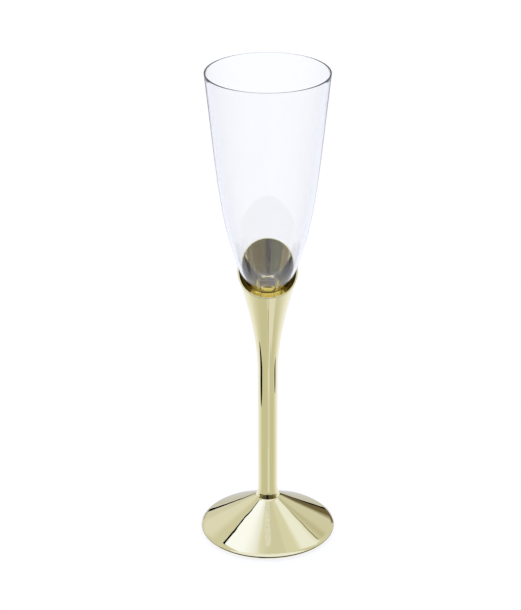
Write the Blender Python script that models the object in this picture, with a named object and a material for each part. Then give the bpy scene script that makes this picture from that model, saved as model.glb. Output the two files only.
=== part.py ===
"""A take-apart champagne flute: a clear bowl, a trumpet-shaped stem and a conical foot.

Units are metres and +Z is up. The origin is the centre of the ring that the foot rests on.
The bowl's hollow peg drops into a socket at the bottom of the stem's trumpet, and the stem's
bore drops over the foot's peg. Both joints lie on the Z axis. The stem's cut lip is lowest at
the front, -Y.
"""

import math

import bmesh
import bpy
from mathutils import Vector
from mathutils.geometry import interpolate_bezier

# Overall
TOTAL_HEIGHT = 0.229
SEGMENTS = 48
GAP = 0.0003  # clearance left where one piece seats on another

# Bowl
RIM_RADIUS = 0.0280
BOWL_WALL = 0.0011
BOWL_PEG_ROOT = 0.1248
BOWL_PEG_ROOT_RADIUS = 0.0042
BOWL_PEG_RADIUS = 0.0031
BOWL_PEG_TIP = 0.1150
BOWL_PEG_CHAMFER = 0.0003

# Stem
STEM_RADIUS = 0.00465
STEM_BORE_RADIUS = 0.00345
STEM_BOTTOM = 0.0178
STEM_BASE_RADIUS = 0.00565
STEM_BASE_FLARE = 0.0070
STEM_BASE_POWER = 3
FLARE_START = 0.084
FLARE_POWER = 1.7
LIP_WAVES = (0.13321, 0.00858, 0.00148, 0.00006)  # the lip's mean height and its cosine waves
LIP_HIGH = sum(LIP_WAVES)
LIP_RADIUS = 0.01774  # outside radius where the lip is highest
LIP_WALL = 0.0008
FUNNEL_CORNER = 0.1228
FUNNEL_FLOOR = 0.1189
SOCKET_MOUTH_RADIUS = 0.0039
SOCKET_RADIUS = BOWL_PEG_RADIUS + GAP
SOCKET_FLOOR = BOWL_PEG_TIP - GAP
BORE_TOP = 0.1120

# Foot
FOOT_RADIUS = 0.0317
FOOT_EDGE_ROUND = 0.0006
FOOT_EDGE_HEIGHT = 0.0014
FOOT_BAND_ROUND = 0.0073  # the broad rounding between the cone and the edge
FOOT_RING_OUTER = 0.0304
FOOT_RING_INNER = 0.0292
FOOT_WALL = 0.0013
FOOT_SLOPE = 29.5  # degrees
FOOT_HOLLOW = 0.00046  # extra rise at the shoulder, so the cone is slightly hollow in profile
FOOT_TOP = STEM_BOTTOM - GAP
FOOT_PEG_RADIUS = STEM_BORE_RADIUS - GAP
FOOT_PEG_TIP = 0.0340
FOOT_PEG_CHAMFER = 0.0005


def clear_scene():
    for thing in list(bpy.data.objects):
        bpy.data.objects.remove(thing, do_unlink=True)


def smooth_curve(stations, steps):
    """A curve through (radius, height) stations, its handles aimed along each one's neighbours."""
    knots = [Vector((radius, height, 0.0)) for radius, height in stations]
    padded = [knots[0]] + knots + [knots[-1]]
    aims = [(after - before).normalized() for before, after in zip(padded, padded[2:])]
    points = [knots[0]]
    for here, there, leave, arrive in zip(knots, knots[1:], aims, aims[1:]):
        reach = (there - here).length / 3
        stretch = interpolate_bezier(here, here + leave * reach, there - arrive * reach, there, steps + 1)
        points += stretch[1:]
    return [(point.x, point.y) for point in points]


def inset(curve, wall):
    """A (radius, height) curve that runs downwards, moved in towards the axis square to itself."""
    moved = []
    for index, (radius, height) in enumerate(curve):
        before = Vector(curve[max(index - 1, 0)])
        after = Vector(curve[min(index + 1, len(curve) - 1)])
        along = (after - before).normalized()
        moved.append((radius + along.y * wall, height - along.x * wall))
    return moved


def arc(centre, radius, start, end, steps):
    """Points on an arc in the (radius, height) plane, between two angles in degrees."""
    points = []
    for step in range(steps + 1):
        angle = math.radians(start + (end - start) * step / steps)
        points.append((centre[0] + radius * math.cos(angle), centre[1] + radius * math.sin(angle)))
    return points


def plastic(name, colour, metallic, roughness, transmission):
    material = bpy.data.materials.new(name)
    material.use_nodes = True
    shader = material.node_tree.nodes["Principled BSDF"]
    shader.inputs["Base Color"].default_value = (*colour, 1.0)
    shader.inputs["Metallic"].default_value = metallic
    shader.inputs["Roughness"].default_value = roughness
    shader.inputs["Transmission Weight"].default_value = transmission
    return material


def turned(name, outline, material):
    """A solid turned on the Z axis from an outline that ends on the axis at both ends."""
    bm = bmesh.new()
    corners = [bm.verts.new((radius, 0.0, height)) for radius, height in outline]
    for here, there in zip(corners, corners[1:]):
        bm.edges.new((here, there))
    mesh = bpy.data.meshes.new(name)
    bm.to_mesh(mesh)
    bm.free()
    piece = bpy.data.objects.new(name, mesh)
    bpy.context.collection.objects.link(piece)
    screw = piece.modifiers.new("Turn", "SCREW")
    screw.axis = "Z"
    screw.angle = math.tau
    screw.steps = SEGMENTS
    screw.render_steps = SEGMENTS
    screw.use_merge_vertices = True
    screw.merge_threshold = 0.00001
    screw.use_smooth_shade = True
    mesh.materials.append(material)
    return piece


def bowl_outside():
    """The bowl's outside, from its rim down to the peg: a straight taper above a rounded cup."""
    return smooth_curve(
        [
            (RIM_RADIUS, TOTAL_HEIGHT - BOWL_WALL / 2),
            (0.0260, 0.210),
            (0.0239, 0.190),
            (0.0217, 0.172),
            (0.0187, 0.155),
            (0.0146, 0.1402),
            (0.0119, 0.1323),
            (0.0090, 0.1276),
            (0.0060, 0.1256),
            (BOWL_PEG_ROOT_RADIUS, BOWL_PEG_ROOT),
        ],
        3,
    )


def peg_outside():
    """The outside of the bowl's peg, drawn in below its root and then straight."""
    return smooth_curve(
        [
            (BOWL_PEG_ROOT_RADIUS, BOWL_PEG_ROOT),
            (0.0037, 0.1232),
            (0.0034, 0.1205),
            (BOWL_PEG_RADIUS, BOWL_PEG_TIP + BOWL_PEG_CHAMFER),
        ],
        2,
    )


def make_bowl(material):
    """One wall of even thickness: the cup, its bottom, and the closed hollow peg under it."""
    outside = bowl_outside() + peg_outside()[1:]
    inside = inset(outside, BOWL_WALL)
    floor_height = BOWL_PEG_TIP + BOWL_WALL
    floor = [(0.0, floor_height), (inside[-1][0], floor_height)]
    top_outer = outside[0]
    lip_centre = (top_outer[0] - BOWL_WALL / 2, top_outer[1])
    lip = arc(lip_centre, BOWL_WALL / 2, 180, 0, 6)
    tip = [(BOWL_PEG_RADIUS - BOWL_PEG_CHAMFER, BOWL_PEG_TIP), (0.0, BOWL_PEG_TIP)]
    outline = floor + inside[-2:0:-1] + lip + outside[1:] + tip
    return turned("bowl", outline, material)


def foot_upper():
    """The foot's upper side, edge to shoulder: a rounded band, then a cone that hollows slightly."""
    edge_centre = Vector((FOOT_RADIUS - FOOT_EDGE_ROUND, FOOT_EDGE_HEIGHT))
    band_turn = Vector((1.0, 1.0)).normalized() * (FOOT_BAND_ROUND - FOOT_EDGE_ROUND)
    band = arc(edge_centre - band_turn, FOOT_BAND_ROUND, 45, 90 - FOOT_SLOPE, 3)
    start_radius, start_height = band[-1]
    cone = []
    for step in range(1, 7):
        share = step / 6
        run = (start_radius - STEM_BASE_RADIUS) * share
        rise = run * math.tan(math.radians(FOOT_SLOPE)) + FOOT_HOLLOW * share**3
        cone.append((start_radius - run, start_height + rise))
    return arc(edge_centre, FOOT_EDGE_ROUND, -50, 45, 5) + band[1:] + cone


def make_foot(material):
    """A hollow cone of even wall on a flat ring, with a central peg for the stem."""
    upper = foot_upper()
    underside = inset([point for point in upper[::-1] if point[0] < FOOT_RING_INNER], FOOT_WALL)
    underside = [point for point in underside if point[0] < FOOT_RING_INNER]
    peg = [
        (0.0, FOOT_PEG_TIP),
        (FOOT_PEG_RADIUS - FOOT_PEG_CHAMFER, FOOT_PEG_TIP),
        (FOOT_PEG_RADIUS, FOOT_PEG_TIP - FOOT_PEG_CHAMFER),
        (FOOT_PEG_RADIUS, FOOT_TOP),
        (STEM_BASE_RADIUS - FOOT_PEG_CHAMFER / 2, FOOT_TOP),
    ]
    ring = [(FOOT_RING_OUTER, 0.0), (FOOT_RING_INNER, 0.0), (FOOT_RING_INNER, underside[-1][1])]
    outline = peg + upper[::-1] + ring + underside[::-1] + [(0.0, underside[0][1])]
    return turned("foot", outline, material)


def stem_radius(height):
    """The stem's outside radius at a height: foot flare, straight tube, then trumpet."""
    if height < STEM_BOTTOM + STEM_BASE_FLARE:
        share = (STEM_BOTTOM + STEM_BASE_FLARE - height) / STEM_BASE_FLARE
        return STEM_RADIUS + (STEM_BASE_RADIUS - STEM_RADIUS) * share**STEM_BASE_POWER
    if height < FLARE_START:
        return STEM_RADIUS
    share = (height - FLARE_START) / (LIP_HIGH - FLARE_START)
    return STEM_RADIUS + (LIP_RADIUS - STEM_RADIUS) * share**FLARE_POWER


def stem_bore(height):
    """The inside radius of the trumpet, which has an even wall."""
    return stem_radius(height) - LIP_WALL


def lip_height(angle):
    """The height of the cut lip round the stem, lowest at -Y and highest at +Y."""
    from_back = angle - math.pi / 2
    return sum(size * math.cos(wave * from_back) for wave, size in enumerate(LIP_WAVES))


def steps_between(low, high, count):
    return [low + (high - low) * step / count for step in range(count + 1)]


def funnel_floor():
    """The rounded bottom of the trumpet's inside, from the socket's mouth out to the wall."""
    corner_radius = stem_bore(FUNNEL_CORNER)
    return smooth_curve(
        [
            (SOCKET_MOUTH_RADIUS, FUNNEL_FLOOR - 0.0003),
            (SOCKET_MOUTH_RADIUS + 0.0003, FUNNEL_FLOOR),
            (0.0058, FUNNEL_FLOOR + 0.0001),
            (corner_radius - 0.0022, 0.1197),
            (corner_radius - 0.0007, 0.1212),
            (corner_radius, FUNNEL_CORNER),
        ],
        2,
    )


def stem_outline(angle):
    """The section at one angle, axis to axis: socket, funnel, lip, outside, then the foot's bore."""
    top = lip_height(angle) - LIP_WALL / 2
    socket = [
        (0.0, SOCKET_FLOOR),
        (SOCKET_RADIUS - BOWL_PEG_CHAMFER, SOCKET_FLOOR),
        (SOCKET_RADIUS, SOCKET_FLOOR + BOWL_PEG_CHAMFER),
    ]
    wall = [(stem_bore(height), height) for height in steps_between(FUNNEL_CORNER, top, 8)]
    base = steps_between(STEM_BOTTOM, STEM_BOTTOM + STEM_BASE_FLARE, 6)
    outside = [(stem_radius(height), height) for height in base + steps_between(FLARE_START, top, 12)]
    crest = ((outside[-1][0] + wall[-1][0]) / 2, top + LIP_WALL / 2)
    bore = [(STEM_BORE_RADIUS, STEM_BOTTOM), (STEM_BORE_RADIUS, BORE_TOP), (0.0, BORE_TOP)]
    return socket + funnel_floor() + wall[1:] + [crest] + outside[::-1] + bore


def make_stem(material):
    bm = bmesh.new()
    ends = [bm.verts.new((0.0, 0.0, height)) for height in (SOCKET_FLOOR, BORE_TOP)]
    columns = []
    for segment in range(SEGMENTS):
        angle = math.tau * segment / SEGMENTS
        across = Vector((math.cos(angle), math.sin(angle), 0.0))
        up = Vector((0.0, 0.0, 1.0))
        between = stem_outline(angle)[1:-1]
        column = [bm.verts.new(across * radius + up * height) for radius, height in between]
        columns.append([ends[0], *column, ends[1]])
    for here, there in zip(columns, columns[1:] + columns[:1]):
        for index in range(len(here) - 1):
            corners = [here[index], there[index], there[index + 1], here[index + 1]]
            bm.faces.new(list(dict.fromkeys(corners)))
    bmesh.ops.recalc_face_normals(bm, faces=bm.faces[:])
    mesh = bpy.data.meshes.new("stem")
    bm.to_mesh(mesh)
    bm.free()
    mesh.shade_smooth()
    mesh.set_sharp_from_angle(angle=math.radians(40))
    mesh.materials.append(material)
    piece = bpy.data.objects.new("stem", mesh)
    bpy.context.collection.objects.link(piece)
    return piece


def main():
    clear_scene()
    make_bowl(plastic("bowl_clear", (0.95, 0.95, 0.98), 0.0, 0.03, 1.0))
    make_stem(plastic("stem_gold", (0.80, 0.72, 0.42), 1.0, 0.10, 0.0))
    make_foot(plastic("foot_gold", (0.80, 0.72, 0.42), 1.0, 0.08, 0.0))


main()
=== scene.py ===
import math

import bmesh
import bpy
from mathutils import Matrix, Vector
from mathutils.geometry import interpolate_bezier


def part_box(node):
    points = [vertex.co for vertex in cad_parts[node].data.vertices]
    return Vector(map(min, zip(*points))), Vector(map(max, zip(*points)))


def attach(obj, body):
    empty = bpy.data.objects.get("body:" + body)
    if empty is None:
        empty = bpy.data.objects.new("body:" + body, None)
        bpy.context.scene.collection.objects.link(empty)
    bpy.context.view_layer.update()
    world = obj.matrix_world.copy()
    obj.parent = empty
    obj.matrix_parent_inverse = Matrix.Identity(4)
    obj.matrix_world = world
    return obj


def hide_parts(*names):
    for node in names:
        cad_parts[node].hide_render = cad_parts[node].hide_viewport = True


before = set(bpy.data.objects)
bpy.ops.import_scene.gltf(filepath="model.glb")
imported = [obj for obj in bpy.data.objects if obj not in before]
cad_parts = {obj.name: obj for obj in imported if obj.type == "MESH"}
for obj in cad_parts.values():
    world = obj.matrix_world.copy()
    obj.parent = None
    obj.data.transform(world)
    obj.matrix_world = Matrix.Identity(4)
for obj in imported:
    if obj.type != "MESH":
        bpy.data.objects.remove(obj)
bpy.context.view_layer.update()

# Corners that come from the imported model
BOWL_LOW, BOWL_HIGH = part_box("bowl")
STEM_LOW, STEM_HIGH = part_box("stem")
FOOT_LOW, FOOT_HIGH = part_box("foot")

SEGMENTS = 240
GAP = 0.0003  # clearance left where one piece seats on another

# Bowl
RIM_RADIUS = BOWL_HIGH.x
RIM_HEIGHT = BOWL_HIGH.z
BOWL_WALL = 0.0011
RIM_WALL = 0.0007  # the wall thins to this at the rim, over the top RIM_TAPER
RIM_TAPER = 0.060
PEG_ROOT = 0.1248
PEG_ROOT_RADIUS = 0.0042
PEG_RADIUS = 0.0031
PEG_TIP = BOWL_LOW.z
CHAMFER = 0.0003

# Stem
STEM_RADIUS = 0.00465
BORE_RADIUS = 0.00345
STEM_BOTTOM = STEM_LOW.z
STEM_BASE_RADIUS = 0.00565
STEM_BASE_FLARE = 0.0070
STEM_BASE_POWER = 3
FLARE_START = 0.084
FLARE_POWER = 1.7
LIP_WAVES = (0.13321, 0.00858, 0.00148, 0.00006)  # the lip's mean height and its cosine waves
LIP_HIGH = sum(LIP_WAVES)
LIP_RADIUS = 0.01774
LIP_WALL = 0.0008
LIP_CORNER = 0.00008  # keeps the shading of the lip's rounding off the wall below it
SEAM_HEIGHT = 0.00001  # the mould's parting line
FUNNEL_CORNER = 0.1228
FUNNEL_FLOOR = 0.1189
SOCKET_MOUTH_RADIUS = 0.0039
SOCKET_RADIUS = PEG_RADIUS + GAP
SOCKET_FLOOR = PEG_TIP - GAP
BORE_TOP = 0.1120
SOCKET_HAZE_AND_PAINTED_BOUNCE = 0.1245  # below this height the inside turns from mirror to a rougher moulded seat, and its colour to a painted amber that stands for light bounced round the gold socket
SOCKET_HAZE_AND_PAINTED_BOUNCE_FADE = 0.004

# Foot
FOOT_RADIUS = FOOT_HIGH.x
FOOT_EDGE_ROUND = 0.0006
FOOT_EDGE_HEIGHT = 0.0014
FOOT_BAND_ROUND = 0.0073
FOOT_RING_OUTER = 0.0304
FOOT_RING_INNER = 0.0292
FOOT_WALL = 0.0013
FOOT_SLOPE = 29.5  # degrees
FOOT_HOLLOW = 0.00046
FOOT_TOP = STEM_BOTTOM - GAP
FOOT_PEG_RADIUS = BORE_RADIUS - GAP
FOOT_PEG_TIP = FOOT_HIGH.z
FOOT_PEG_CHAMFER = 0.0005
GATE_ANGLE = -94.0  # degrees; a small flat on the edge where the moulding's gate was cut off
GATE_HALF_WIDTH = 2.3  # degrees
GATE_DEPTH = 0.00012


# Curves in the (radius, height) plane


def smooth_curve(stations, steps):
    """A curve through (radius, height) stations, its handles aimed along each one's neighbours."""
    knots = [Vector((radius, height, 0.0)) for radius, height in stations]
    padded = [knots[0]] + knots + [knots[-1]]
    aims = [(after - before).normalized() for before, after in zip(padded, padded[2:])]
    points = [knots[0]]
    for here, there, leave, arrive in zip(knots, knots[1:], aims, aims[1:]):
        reach = (there - here).length / 3
        stretch = interpolate_bezier(here, here + leave * reach, there - arrive * reach, there, steps + 1)
        points += stretch[1:]
    return [(point.x, point.y) for point in points]


def inset(curve, wall):
    """A (radius, height) curve that runs downwards, moved in towards the axis square to itself."""
    moved = []
    for index, (radius, height) in enumerate(curve):
        before = Vector(curve[max(index - 1, 0)])
        after = Vector(curve[min(index + 1, len(curve) - 1)])
        along = (after - before).normalized()
        moved.append((radius + along.y * wall, height - along.x * wall))
    return moved


def arc(centre, radius, start, end, steps):
    """Points on an arc in the (radius, height) plane, between two angles in degrees."""
    points = []
    for step in range(steps + 1):
        angle = math.radians(start + (end - start) * step / steps)
        points.append((centre[0] + radius * math.cos(angle), centre[1] + radius * math.sin(angle)))
    return points


# Meshes


def turned(name, outline_at, material):
    """A solid turned on the Z axis. outline_at gives the outline at an angle, from axis to axis."""
    bm = bmesh.new()
    outlines = [outline_at(math.tau * segment / SEGMENTS) for segment in range(SEGMENTS)]
    ends = [bm.verts.new((0.0, 0.0, outlines[0][index][1])) for index in (0, -1)]
    columns = []
    for segment, outline in enumerate(outlines):
        angle = math.tau * segment / SEGMENTS
        across = Vector((math.cos(angle), math.sin(angle), 0.0))
        up = Vector((0.0, 0.0, 1.0))
        column = [bm.verts.new(across * radius + up * height) for radius, height in outline[1:-1]]
        columns.append([ends[0], *column, ends[1]])
    for here, there in zip(columns, columns[1:] + columns[:1]):
        for index in range(len(here) - 1):
            corners = [here[index], there[index], there[index + 1], here[index + 1]]
            bm.faces.new(list(dict.fromkeys(corners)))
    return finished(name, bm, material)


def finished(name, bm, material):
    """The piece made from a bmesh, with smooth shading that breaks at sharp edges."""
    bmesh.ops.recalc_face_normals(bm, faces=bm.faces[:])
    mesh = bpy.data.meshes.new(name)
    bm.to_mesh(mesh)
    bm.free()
    mesh.shade_smooth()
    mesh.set_sharp_from_angle(angle=math.radians(40))
    mesh.materials.append(material)
    piece = bpy.data.objects.new(name, mesh)
    bpy.context.scene.collection.objects.link(piece)
    return piece


def stand_in(piece, node, body):
    """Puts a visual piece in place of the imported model's node."""
    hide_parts(node)
    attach(piece, body)
    return piece


# Bowl


def bowl_outside():
    """The bowl's outside, from its rim down to the peg: a straight taper above a rounded cup."""
    return smooth_curve(
        [
            (RIM_RADIUS, RIM_HEIGHT - RIM_WALL / 2),
            (0.0260, 0.210),
            (0.0239, 0.190),
            (0.0217, 0.172),
            (0.0187, 0.155),
            (0.0146, 0.1402),
            (0.0119, 0.1323),
            (0.0090, 0.1276),
            (0.0060, 0.1256),
            (PEG_ROOT_RADIUS, PEG_ROOT),
        ],
        12,
    )


def bowl_inside(pair):
    """A point of the bowl's inside, moved towards its outside partner where the rim is thin."""
    outer, inner = Vector(pair[0]), Vector(pair[1])
    near_rim = min(max(1 - (RIM_HEIGHT - outer.y) / RIM_TAPER, 0.0), 1.0)
    return tuple(inner.lerp(outer, (1 - RIM_WALL / BOWL_WALL) * near_rim**2))


def make_bowl(material):
    outside = bowl_outside()
    peg = smooth_curve(
        [
            (PEG_ROOT_RADIUS, PEG_ROOT),
            (0.0037, 0.1232),
            (0.0034, 0.1205),
            (PEG_RADIUS, PEG_TIP + CHAMFER),
        ],
        6,
    )
    whole = outside + peg[1:]
    inside = [bowl_inside(pair) for pair in zip(whole, inset(whole, BOWL_WALL))]
    inside = inside[:-1] + [(inside[-1][0], PEG_TIP + BOWL_WALL)]
    top_outer = outside[0]
    lip_centre = (top_outer[0] - RIM_WALL / 2, top_outer[1])
    lip = arc(lip_centre, RIM_WALL / 2, 180, 0, 16)
    floor = [(0.0, PEG_TIP + BOWL_WALL)]
    tip = [(PEG_RADIUS - CHAMFER, PEG_TIP), (0.0, PEG_TIP)]
    outline = floor + inside[::-1] + lip[1:] + outside[1:] + peg[1:] + tip
    return turned("clear_bowl", lambda angle: outline, material)


# Stem


def stem_radius(height):
    """The stem's outside radius at a height: foot flare, straight tube, then trumpet."""
    if height < STEM_BOTTOM + STEM_BASE_FLARE:
        share = (STEM_BOTTOM + STEM_BASE_FLARE - height) / STEM_BASE_FLARE
        return STEM_RADIUS + (STEM_BASE_RADIUS - STEM_RADIUS) * share**STEM_BASE_POWER
    if height < FLARE_START:
        return STEM_RADIUS
    share = (height - FLARE_START) / (LIP_HIGH - FLARE_START)
    return STEM_RADIUS + (LIP_RADIUS - STEM_RADIUS) * share**FLARE_POWER


def stem_bore(height):
    """The stem's inside radius: a straight bore that opens out under the trumpet."""
    return max(BORE_RADIUS, stem_radius(height) - LIP_WALL)


def lip_height(angle):
    """The height of the cut lip round the stem, lowest at -Y and highest at +Y."""
    from_back = angle - math.pi / 2
    return sum(size * math.cos(wave * from_back) for wave, size in enumerate(LIP_WAVES))


def stem_outline(angle):
    """The wall section at one angle, from the socket's floor over the lip to the bore's end."""
    top = lip_height(angle) - LIP_WALL / 2
    corner = (stem_bore(FUNNEL_CORNER), FUNNEL_CORNER)
    floor = smooth_curve(
        [
            (SOCKET_MOUTH_RADIUS, FUNNEL_FLOOR - 0.0003),
            (SOCKET_MOUTH_RADIUS + 0.0003, FUNNEL_FLOOR),
            (0.0058, FUNNEL_FLOOR + 0.0001),
            (corner[0] - 0.0022, 0.1197),
            (corner[0] - 0.0007, 0.1212),
            corner,
        ],
        6,
    )
    wall = [(stem_bore(height), height) for height in steps_between(FUNNEL_CORNER, top, 32)]
    base = steps_between(STEM_BOTTOM, STEM_BOTTOM + STEM_BASE_FLARE, 24)
    heights = base + steps_between(FLARE_START, top - LIP_CORNER, 48) + [top]
    outside = [(stem_radius(height) + seam(angle, height), height) for height in heights]
    crest_centre = ((outside[-1][0] + wall[-1][0]) / 2, top)
    crest = arc(crest_centre, LIP_WALL / 2, 180, 0, 10)[1:-1]
    socket = [
        (0.0, SOCKET_FLOOR),
        (SOCKET_RADIUS - CHAMFER, SOCKET_FLOOR),
        (SOCKET_RADIUS, SOCKET_FLOOR + CHAMFER),
    ]
    bore = [(BORE_RADIUS, STEM_BOTTOM), (BORE_RADIUS, BORE_TOP), (0.0, BORE_TOP)]
    return socket + floor + wall[1:] + crest + outside[::-1] + bore


def steps_between(low, high, count):
    return [low + (high - low) * step / count for step in range(count + 1)]


def seam(angle, height):
    """The mould's faint parting line, front and back, just below and on the start of the trumpet."""
    on_line = abs(math.cos(angle)) < 0.01
    return SEAM_HEIGHT if on_line and FLARE_START < height < FUNNEL_FLOOR else 0.0


def make_stem(material):
    stem = turned("gold_stem", stem_outline, material)
    mark_socket(stem)
    return stem


def mark_socket(stem):
    """1 on the moulded seat under the trumpet's inner face, 0 on the rest, smooth between them. The gold
    material makes the marked seat rougher and paints amber bounce light into its colour.
    """
    depth = stem.data.attributes.new("seat_and_painted_bounce", "FLOAT", "POINT")
    for vertex, mark in zip(stem.data.vertices, depth.data):
        radius = math.hypot(vertex.co.x, vertex.co.y)
        inside = vertex.co.z > BORE_TOP and radius < stem_radius(vertex.co.z) - LIP_WALL * 0.7
        mark.value = min(max((SOCKET_HAZE_AND_PAINTED_BOUNCE - vertex.co.z) / SOCKET_HAZE_AND_PAINTED_BOUNCE_FADE, 0.0), 1.0) if inside else 0.0


# Foot


def foot_upper(steps):
    """The foot's upper side, edge to shoulder: a rounded band, then a cone that hollows slightly."""
    edge_centre = Vector((FOOT_RADIUS - FOOT_EDGE_ROUND, FOOT_EDGE_HEIGHT))
    band_turn = Vector((1.0, 1.0)).normalized() * (FOOT_BAND_ROUND - FOOT_EDGE_ROUND)
    band = arc(edge_centre - band_turn, FOOT_BAND_ROUND, 45, 90 - FOOT_SLOPE, steps)
    start_radius, start_height = band[-1]
    cone = []
    for step in range(1, 2 * steps + 1):
        share = step / (2 * steps)
        run = (start_radius - STEM_BASE_RADIUS) * share
        rise = run * math.tan(math.radians(FOOT_SLOPE)) + FOOT_HOLLOW * share**3
        cone.append((start_radius - run, start_height + rise))
    return arc(edge_centre, FOOT_EDGE_ROUND, -50, 45, steps) + band[1:] + cone


def foot_outline(angle):
    """The section at one angle, from the peg's tip over the cone and the resting ring."""
    upper = foot_upper(16)
    from_gate = math.degrees(angle) - 360 - GATE_ANGLE
    if abs(from_gate) < GATE_HALF_WIDTH:
        upper = [(min(radius, FOOT_RADIUS - GATE_DEPTH), height) for radius, height in upper]
    underside = inset([point for point in upper[::-1] if point[0] < FOOT_RING_INNER], FOOT_WALL)
    underside = [point for point in underside if point[0] < FOOT_RING_INNER]
    peg = [
        (0.0, FOOT_PEG_TIP),
        (FOOT_PEG_RADIUS - FOOT_PEG_CHAMFER, FOOT_PEG_TIP),
        (FOOT_PEG_RADIUS, FOOT_PEG_TIP - FOOT_PEG_CHAMFER),
        (FOOT_PEG_RADIUS, FOOT_TOP),
        (STEM_BASE_RADIUS - FOOT_PEG_CHAMFER / 2, FOOT_TOP),
    ]
    ring = [(FOOT_RING_OUTER, 0.0), (FOOT_RING_INNER, 0.0), (FOOT_RING_INNER, underside[-1][1])]
    return peg + upper[::-1] + ring + underside[::-1] + [(0.0, underside[0][1])]


def make_foot(material):
    return turned("gold_foot", foot_outline, material)


# Nodes


def maths(tree, operation, *values):
    """A Math node. Each value is a number or another node's socket."""
    node = tree.nodes.new("ShaderNodeMath")
    node.operation = operation
    fill(tree, node, values)
    return node.outputs["Value"]


def fill(tree, node, values):
    for socket, value in zip(node.inputs, values):
        if isinstance(value, bpy.types.NodeSocket):
            tree.links.new(value, socket)
        else:
            socket.default_value = value


def dot(tree, one, other):
    node = tree.nodes.new("ShaderNodeVectorMath")
    node.operation = "DOT_PRODUCT"
    fill(tree, node, (one, other))
    return node.outputs["Value"]


def eased(tree, value, start, end):
    """0 before start and 1 after end, smooth between them."""
    node = tree.nodes.new("ShaderNodeMapRange")
    node.interpolation_type = "SMOOTHSTEP"
    fill(tree, node, (value, start, end, 0.0, 1.0))
    return node.outputs["Result"]


def mixed(tree, share, one, other):
    """One colour turning into the other as share goes from 0 to 1."""
    node = tree.nodes.new("ShaderNodeMix")
    node.data_type = "RGBA"
    for name, value in (("Factor_Float", share), ("A_Color", one), ("B_Color", other)):
        socket = next(s for s in node.inputs if s.identifier == name)
        if isinstance(value, bpy.types.NodeSocket):
            tree.links.new(value, socket)
        else:
            socket.default_value = value
    return next(s for s in node.outputs if s.identifier == "Result_Color")


# Studio


def towards(azimuth, elevation):
    """A unit vector: azimuth from +X towards +Y, elevation above the floor, in degrees."""
    a, e = math.radians(azimuth), math.radians(elevation)
    return Vector((math.cos(a) * math.cos(e), math.sin(a) * math.cos(e), math.sin(e)))


def card_mask(tree, direction, azimuth, elevation, width, height, turn=0.0, soft=3.0):
    """1 in the directions that a flat card fills, 0 outside. Sizes are half angles in degrees."""
    facing = towards(azimuth, elevation)
    side = Vector((-math.sin(math.radians(azimuth)), math.cos(math.radians(azimuth)), 0.0))
    top = facing.cross(side)
    roll = math.radians(turn)
    side, top = side * math.cos(roll) + top * math.sin(roll), top * math.cos(roll) - side * math.sin(roll)
    depth = dot(tree, direction, facing)
    mask = maths(tree, "GREATER_THAN", depth, 0.02)
    for axis, half in ((side, width), (top, height)):
        offset = maths(tree, "ABSOLUTE", maths(tree, "ARCTAN2", dot(tree, direction, axis), depth))
        edge = eased(tree, offset, math.radians(half + soft / 2), math.radians(half - soft / 2))
        mask = maths(tree, "MULTIPLY", mask, edge)
    return mask


# What shows where no card is: above the horizon, and below it towards the camera and away
PALE = (0.76, 0.77, 0.82, 1.0)
FLOOR_NEAR = (0.69, 0.70, 0.67, 1.0)
FLOOR_FAR = (1.05, 1.08, 1.35, 1.0)

# The cards' tones: bright, then dark, then in between
SOFTBOX = (1.20, 1.30, 2.05, 1.0)
FILL = (1.03, 1.10, 1.50, 1.0)
SKY = (1.3, 1.3, 1.3, 1.0)
ZENITH = (1.02, 1.06, 1.30, 1.0)
DARK = (0.10, 0.09, 0.10, 1.0)
BAND = (0.27, 0.22, 0.16, 1.0)
TAN = (0.13, 0.10, 0.05, 1.0)
PLUM = (0.02, 0.005, 0.02, 1.0)
SAGE = (0.09, 0.10, 0.06, 1.0)
BLACK = (0.0, 0.0, 0.0, 1.0)
BROWN = (0.17, 0.14, 0.09, 1.0)
LINE = (0.30, 0.27, 0.20, 1.0)
OLIVE = (0.42, 0.40, 0.33, 1.0)
SHADE = (0.62, 0.62, 0.60, 1.0)
GLOW = (0.83, 0.85, 0.92, 1.0)
STRIPE = (0.90, 0.91, 1.08, 1.0)
SIDE = (0.88, 0.90, 1.05, 1.0)
BACK = (0.66, 0.66, 0.70, 1.0)

# Tone, azimuth, elevation, half width, half height, turn and softness, in degrees. Each card is
# painted over the ones before it.
CARDS = (
    (SKY, 90, 66, 22, 14, 0, 10),
    (FILL, -90, 62, 45, 20, 0, 3),
    (DARK, -90, 34, 60, 14, 0, 6),
    (DARK, -90, 7, 45, 13, 0, 3),
    (BAND, -153, 5, 21, 13, 0, 3),
    (BAND, -27, 5, 21, 13, 0, 3),
    (TAN, -55, 8, 26, 11, 0, 14),
    (SAGE, -122, 8, 22, 11, 0, 12),
    (PLUM, -93, 7, 10, 12, 0, 8),
    (DARK, -78, 7, 2, 12, 0, 3),
    (DARK, -106, 7, 1.5, 12, 0, 2),
    (SIDE, 128, 26, 14, 12, 0, 12),
    (BACK, 91, -14, 22, 13, 0, 8),
    (ZENITH, 150, 78, 20, 11, 0, 5),
    (SOFTBOX, 152.5, 66.5, 16, 11, 35, 1),
    (SOFTBOX, 168, 72, 9, 9, 0, 12),
    (GLOW, 24, 58, 10.2, 18, 0, 3),
    (FILL, 25, 52, 8, 11, 0, 7),
    (PALE, 0, 90, 10, 10, 0, 28),
    (SHADE, 46, 38, 5, 5, 0, 9),
    (BLACK, 152.1, 53, 3.8, 0.65, 35, 0.2),
    (LINE, 38, 42.3, 0.4, 3.4, 0, 0.3),
    (OLIVE, 66, 5.5, 9, 7, 0, 3),
    (BROWN, 68, 3, 9, 6, 0, 3),
    (BLACK, 74, -1.9, 9, 1.5, 0, 0.4),
    (BLACK, 108, 0.9, 10, 1.8, 0, 0.5),
    (STRIPE, -80, -32, 9, 16, 0, 9),
    (STRIPE, -66, -54, 14, 13, 0, 9),
)


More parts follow.
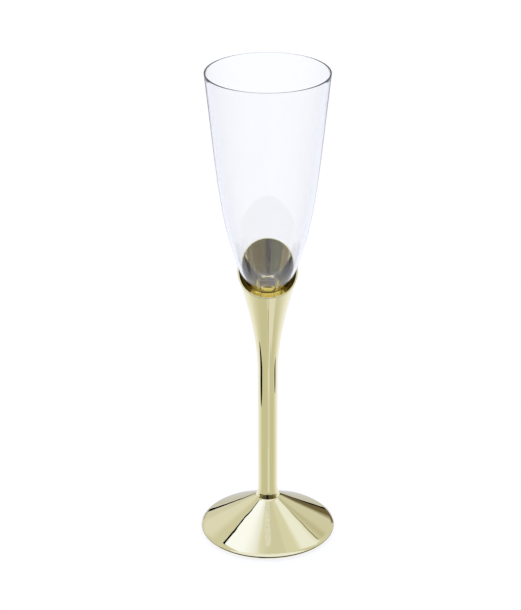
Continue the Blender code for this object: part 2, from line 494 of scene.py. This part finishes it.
def make_world():
    """A studio painted by direction. Straight through the plastic, low down, it's plain white."""
    world = bpy.data.worlds.new("studio")
    bpy.context.scene.world = world
    world.use_nodes = True
    world.cycles.sampling_method = "NONE"
    tree = world.node_tree
    direction = tree.nodes.new("ShaderNodeTexCoord").outputs["Generated"]
    height = dot(tree, direction, (0.0, 0.0, 1.0))
    far = eased(tree, dot(tree, direction, (0.0, 1.0, 0.0)), -0.5, 0.6)
    floor = mixed(tree, far, FLOOR_NEAR, FLOOR_FAR)
    colour = mixed(tree, eased(tree, height, -0.02, 0.02), floor, PALE)
    for tone, azimuth, elevation, width, tall, turn, soft in CARDS:
        mask = card_mask(tree, direction, azimuth, elevation, width, tall, turn, soft)
        colour = mixed(tree, mask, colour, tone)
    path = tree.nodes.new("ShaderNodeLightPath").outputs
    unreflected = maths(tree, "LESS_THAN", path["Glossy Depth"], 0.5)
    through = maths(tree, "MULTIPLY", path["Is Transmission Ray"], unreflected)
    low = eased(tree, height, 0.5, 0.1)
    backdrop = maths(tree, "MAXIMUM", path["Is Camera Ray"], maths(tree, "MULTIPLY", through, low))
    colour = mixed(tree, backdrop, colour, (1.0, 1.0, 1.0, 1.0))
    background = tree.nodes["Background"]
    tree.links.new(colour, background.inputs["Color"])


FLOOR_RADIUS = 4.0
FLOOR_DROP = 0.0002  # keeps the floor just clear of the foot's resting ring
FLOOR_GLOW = 0.78


def make_floor():
    mesh = bpy.data.meshes.new("studio_floor")
    bm = bmesh.new()
    bmesh.ops.create_circle(bm, cap_ends=True, segments=64, radius=FLOOR_RADIUS)
    bm.to_mesh(mesh)
    bm.free()
    floor = bpy.data.objects.new("studio_floor", mesh)
    bpy.context.scene.collection.objects.link(floor)
    floor.location.z = -FLOOR_DROP
    material = bpy.data.materials.new("studio_floor")
    material.use_nodes = True
    shader = material.node_tree.nodes["Principled BSDF"]
    shader.inputs["Base Color"].default_value = (0.3, 0.3, 0.3, 1.0)
    shader.inputs["Roughness"].default_value = 1.0
    shader.inputs["Specular IOR Level"].default_value = 0.0
    shader.inputs["Emission Color"].default_value = (1.0, 1.0, 1.0, 1.0)
    shader.inputs["Emission Strength"].default_value = FLOOR_GLOW
    mesh.materials.append(material)
    floor.visible_glossy = False


# Strips that lie on the floor round the flute: azimuth, near end, far end, half width, tone
STRIPS = (
    (191, 0.128, 0.196, 0.0400, 0.0),
    (1, 0.142, 0.190, 0.0260, 0.0),
    (-84, 0.084, 0.150, 0.0025, 0.45),
)

# The contact shadow's inner and outer circles: radius, centre x, centre y
CONTACT_CIRCLES = ((0.0320, 0.0, 0.0), (0.0366, 0.0006, -0.0048))
CONTACT_TONE = 0.06


def make_strip(index, azimuth, near, far, half_width, tone):
    """A pointed strip on the floor, seen only as a short streak in the stem's reflection."""
    bm = bmesh.new()
    bmesh.ops.create_circle(bm, cap_ends=True, segments=32, radius=1.0)
    bmesh.ops.scale(bm, vec=((far - near) / 2, half_width, 1.0), verts=bm.verts[:])
    strip = reflected_only(f"studio_strip_{index}", bm, tone)
    angle = math.radians(azimuth)
    middle = (near + far) / 2
    strip.location = (middle * math.cos(angle), middle * math.sin(angle), 0.0)
    strip.rotation_euler.z = angle


def reflected_only(name, bm, tone):
    """A staged floor shape that shows in reflections and nowhere else."""
    mesh = bpy.data.meshes.new(name)
    bm.to_mesh(mesh)
    bm.free()
    material = bpy.data.materials.new(name)
    material.use_nodes = True
    shader = material.node_tree.nodes["Principled BSDF"]
    shader.inputs["Base Color"].default_value = (0.0, 0.0, 0.0, 1.0)
    shader.inputs["Specular IOR Level"].default_value = 0.0
    shader.inputs["Emission Color"].default_value = (tone, tone * 0.92, tone * 0.75, 1.0)
    shader.inputs["Emission Strength"].default_value = 1.0
    mesh.materials.append(material)
    shape = bpy.data.objects.new(name, mesh)
    bpy.context.scene.collection.objects.link(shape)
    shape.visible_camera = False
    shape.visible_diffuse = False
    shape.visible_transmission = False
    shape.visible_shadow = False
    return shape


def make_contact():
    """A dark crescent on the floor in front of the foot, seen only in the foot's shiny edge."""
    bm = bmesh.new()
    for radius, x, y in CONTACT_CIRCLES:
        place = Matrix.Translation((x, y, 0.0))
        bmesh.ops.create_circle(bm, segments=96, radius=radius, matrix=place)
    bmesh.ops.bridge_loops(bm, edges=bm.edges[:])
    reflected_only("studio_contact", bm, CONTACT_TONE)


CAMERA_LENS = 126.45  # millimetres on a 36 mm wide sensor
CAMERA_SHIFT = -0.0119
CAMERA_PLACE = (0.0, -0.890, 0.53076)
CAMERA_DIP = 24.934  # degrees below level


def make_camera():
    data = bpy.data.cameras.new("camera")
    data.sensor_width = 36.0
    data.lens = CAMERA_LENS
    data.shift_x = CAMERA_SHIFT
    camera = bpy.data.objects.new("camera", data)
    bpy.context.scene.collection.objects.link(camera)
    camera.location = CAMERA_PLACE
    camera.rotation_euler = (math.radians(90 - CAMERA_DIP), 0.0, 0.0)
    bpy.context.scene.camera = camera


# Materials


def noise(tree, point, scale, detail=2.0):
    node = tree.nodes.new("ShaderNodeTexNoise")
    node.inputs["Scale"].default_value = scale
    node.inputs["Detail"].default_value = detail
    tree.links.new(point, node.inputs["Vector"])
    return node.outputs["Fac"]


def stretched(tree, point, factors):
    node = tree.nodes.new("ShaderNodeVectorMath")
    node.operation = "MULTIPLY"
    fill(tree, node, (point, factors))
    return node.outputs["Vector"]


def bumped(tree, shader, height, distance):
    node = tree.nodes.new("ShaderNodeBump")
    node.inputs["Strength"].default_value = 1.0
    node.inputs["Distance"].default_value = distance
    tree.links.new(height, node.inputs["Height"])
    tree.links.new(node.outputs["Normal"], shader.inputs["Normal"])


def new_material(name):
    """A material with its node tree, its shader and the piece's own coordinates in metres."""
    material = bpy.data.materials.new(name)
    material.use_nodes = True
    tree = material.node_tree
    point = tree.nodes.new("ShaderNodeTexCoord").outputs["Object"]
    return material, tree, tree.nodes["Principled BSDF"], point


GOLD = (0.80, 0.745, 0.425, 1.0)
GOLD_WARM = (0.815, 0.74, 0.40, 1.0)
# Painted bounce light: the deep yellow that light takes bouncing between the gold walls of the socket,
# painted into the seat's colour
PAINTED_BOUNCE_AMBER = (1.0, 0.76, 0.18, 1.0)


def gold(name, roughness, wave):
    """Metallised plastic: a thin gold film over a moulded skin that isn't quite even."""
    material, tree, shader, point = new_material(name)
    shader.inputs["Metallic"].default_value = 1.0
    depth = tree.nodes.new("ShaderNodeAttribute")
    depth.attribute_name = "seat_and_painted_bounce"
    share = depth.outputs["Fac"]
    film = mixed(tree, noise(tree, point, 90.0), GOLD, GOLD_WARM)
    # Where the seat is marked, the film turns to painted amber bounce light
    tree.links.new(mixed(tree, share, film, PAINTED_BOUNCE_AMBER), shader.inputs["Base Color"])
    rubbed = eased(tree, noise(tree, stretched(tree, point, (1.0, 1.0, 0.08)), 1800.0), 0.55, 0.75)
    rough = maths(tree, "MULTIPLY_ADD", rubbed, 0.03, roughness)
    tree.links.new(maths(tree, "MULTIPLY_ADD", share, 0.12, rough), shader.inputs["Roughness"])
    bumped(tree, shader, noise(tree, point, 110.0, 1.0), wave)
    return material


LILAC = (0.962, 0.966, 0.966, 1.0)
SLANTED = (0.875, 0.878, 0.876, 1.0)
WATER = (0.976, 0.979, 0.979, 1.0)


def clear(name):
    """Clear moulded plastic with faint flow marks in its tint, polish and surface."""
    material, tree, shader, point = new_material(name)
    shader.inputs["IOR"].default_value = 1.49
    shader.inputs["Transmission Weight"].default_value = 1.0
    flow = noise(tree, stretched(tree, point, (1.0, 1.0, 0.25)), 120.0)
    slant = tree.nodes.new("ShaderNodeLayerWeight").outputs["Facing"]
    tint = mixed(tree, flow, LILAC, WATER)
    slanted = mixed(tree, eased(tree, slant, 0.1, 0.65), tint, SLANTED)
    tree.links.new(slanted, shader.inputs["Base Color"])
    polish = eased(tree, noise(tree, point, 700.0), 0.6, 0.8)
    tree.links.new(maths(tree, "MULTIPLY", polish, 0.02), shader.inputs["Roughness"])
    bumped(tree, shader, flow, 0.00001)
    return material


def main():
    stand_in(make_bowl(clear("bowl_clear_plastic")), "bowl", "bowl")
    stand_in(make_stem(gold("stem_gold_plating", 0.03, 0.00001)), "stem", "stem")
    stand_in(make_foot(gold("foot_gold_plating", 0.02, 0.00005)), "foot", "foot")
    make_world()
    make_floor()
    for index, strip in enumerate(STRIPS):
        make_strip(index, *strip)
    make_contact()
    make_camera()
    bpy.context.scene.view_settings.view_transform = "Standard"


main()
